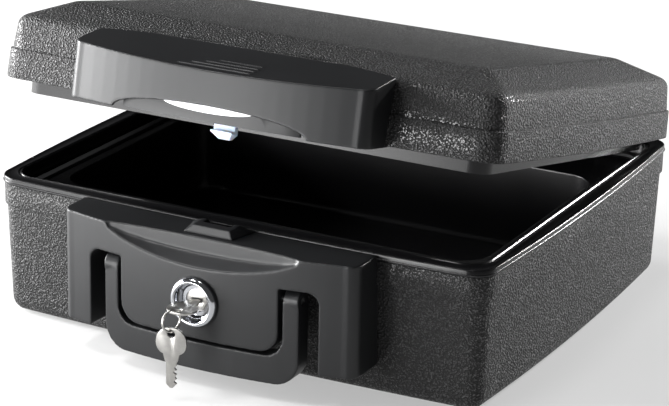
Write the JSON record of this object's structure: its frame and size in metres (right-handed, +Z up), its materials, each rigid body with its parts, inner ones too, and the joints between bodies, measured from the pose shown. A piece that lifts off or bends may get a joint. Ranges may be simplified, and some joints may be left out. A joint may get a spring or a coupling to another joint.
{
  "type": "fire-resistant document chest",
  "caption": "Insulated document chest with a hinged lid propped ajar, a press latch, a keyed cam lock and a fold-out carry handle.",
  "frame": {"origin": "middle of the flat underside, under the middle of the chest's plan", "axes": "+X to the chest's right as seen from its front, +Y towards the hinges, +Z up"},
  "size_m": [0.363, 0.3856, 0.2048],
  "materials": {
    "textured_shell": "black, fine moulded pebble texture",
    "smooth_shell": "smooth dark grey-black moulding",
    "satin_panel": "smooth satin black moulding",
    "insulation": "cast mineral filling",
    "seal": "soft black seal",
    "nylon": "bluish white nylon",
    "white_pad": "plain white",
    "chrome": "polished chrome",
    "nickel": "nickel-plated",
    "zinc": "zinc-plated",
    "hinge_steel": "black painted steel"
  },
  "bodies": {
    "base": {"base_outer_shell": "textured_shell", "base_inner_tub": "smooth_shell", "base_insulation": "insulation", "base_gasket": "seal", "base_fill_plug_left": "seal", "base_fill_plug_right": "seal", "front_panel": "satin_panel", "panel_screw_1": "zinc", "panel_screw_2": "zinc", "panel_screw_3": "zinc", "panel_screw_4": "zinc", "strike_block": "satin_panel", "handle_pin_left": "zinc", "handle_pin_right": "zinc", "lock_bezel": "chrome", "lock_body": "chrome", "lock_nut": "zinc", "base_hinge_leaf_left": "hinge_steel", "base_hinge_leaf_right": "hinge_steel", "hinge_pin_left": "zinc", "hinge_pin_right": "zinc", "base_hinge_screw_left_1": "zinc", "base_hinge_screw_left_2": "zinc", "base_hinge_screw_right_1": "zinc", "base_hinge_screw_right_2": "zinc"},
    "lid": {"lid_outer_shell": "textured_shell", "lid_inner_shell": "smooth_shell", "lid_insulation": "insulation", "latch_cover": "satin_panel", "cover_screw_1": "zinc", "cover_screw_2": "zinc", "latch_pivot_pin": "zinc", "latch_spring": "zinc", "lid_hinge_leaf_left": "hinge_steel", "lid_hinge_leaf_right": "hinge_steel", "lid_hinge_screw_left_1": "zinc", "lid_hinge_screw_left_2": "zinc", "lid_hinge_screw_right_1": "zinc", "lid_hinge_screw_right_2": "zinc"},
    "latch_lever": {"latch_paddle": "satin_panel", "latch_press_pad": "white_pad", "latch_hook": "nylon", "latch_hook_screw": "zinc"},
    "handle": {"carry_handle": "satin_panel"},
    "lock_core": {"lock_plug": "nickel", "lock_cam": "zinc", "lock_cam_screw": "zinc"},
    "key": {"lock_key": "nickel"},
    "ring": {"key_ring": "nickel"},
    "spare_key": {"hanging_key": "nickel"}
  },
  "joints": [
    {"name": "lid_hinge", "type": "hinge", "parent": "base", "child": "lid", "pos_m": [0, 0.157, 0.0955], "axis": [-1, 0, 0], "range_deg": [-12.2, 82.8]},
    {"name": "latch_press", "type": "hinge", "parent": "lid", "child": "latch_lever", "pos_m": [0, -0.16108, 0.18115], "axis": [1, 0, 0], "range_deg": [0, 8], "stiffness_Nm_per_rad": 0.3, "springref_deg": -8.59},
    {"name": "handle_swing", "type": "hinge", "parent": "base", "child": "handle", "pos_m": [0, -0.1806, 0.066], "axis": [-1, 0, 0], "range_deg": [0, 22]},
    {"name": "lock_turn", "type": "hinge", "parent": "base", "child": "lock_core", "pos_m": [0, -0.18, 0.0563], "axis": [0, -1, 0], "range_deg": [0, 90]},
    {"name": "key_withdraw", "type": "slide", "parent": "lock_core", "child": "key", "axis": [0, -1, 0], "range_m": [0, 0.034]},
    {"name": "ring_swing", "type": "hinge", "parent": "key", "child": "ring", "pos_m": [0, -0.212, 0.0563], "axis": [0.3256, 0.9455, 0], "range_deg": [-25, 25]},
    {"name": "spare_key_swing", "type": "hinge", "parent": "ring", "child": "spare_key", "pos_m": [-0.00172, -0.21699, 0.0447], "axis": [0.2079, -0.9781, 0], "range_deg": [-22, 22]}
  ]
}
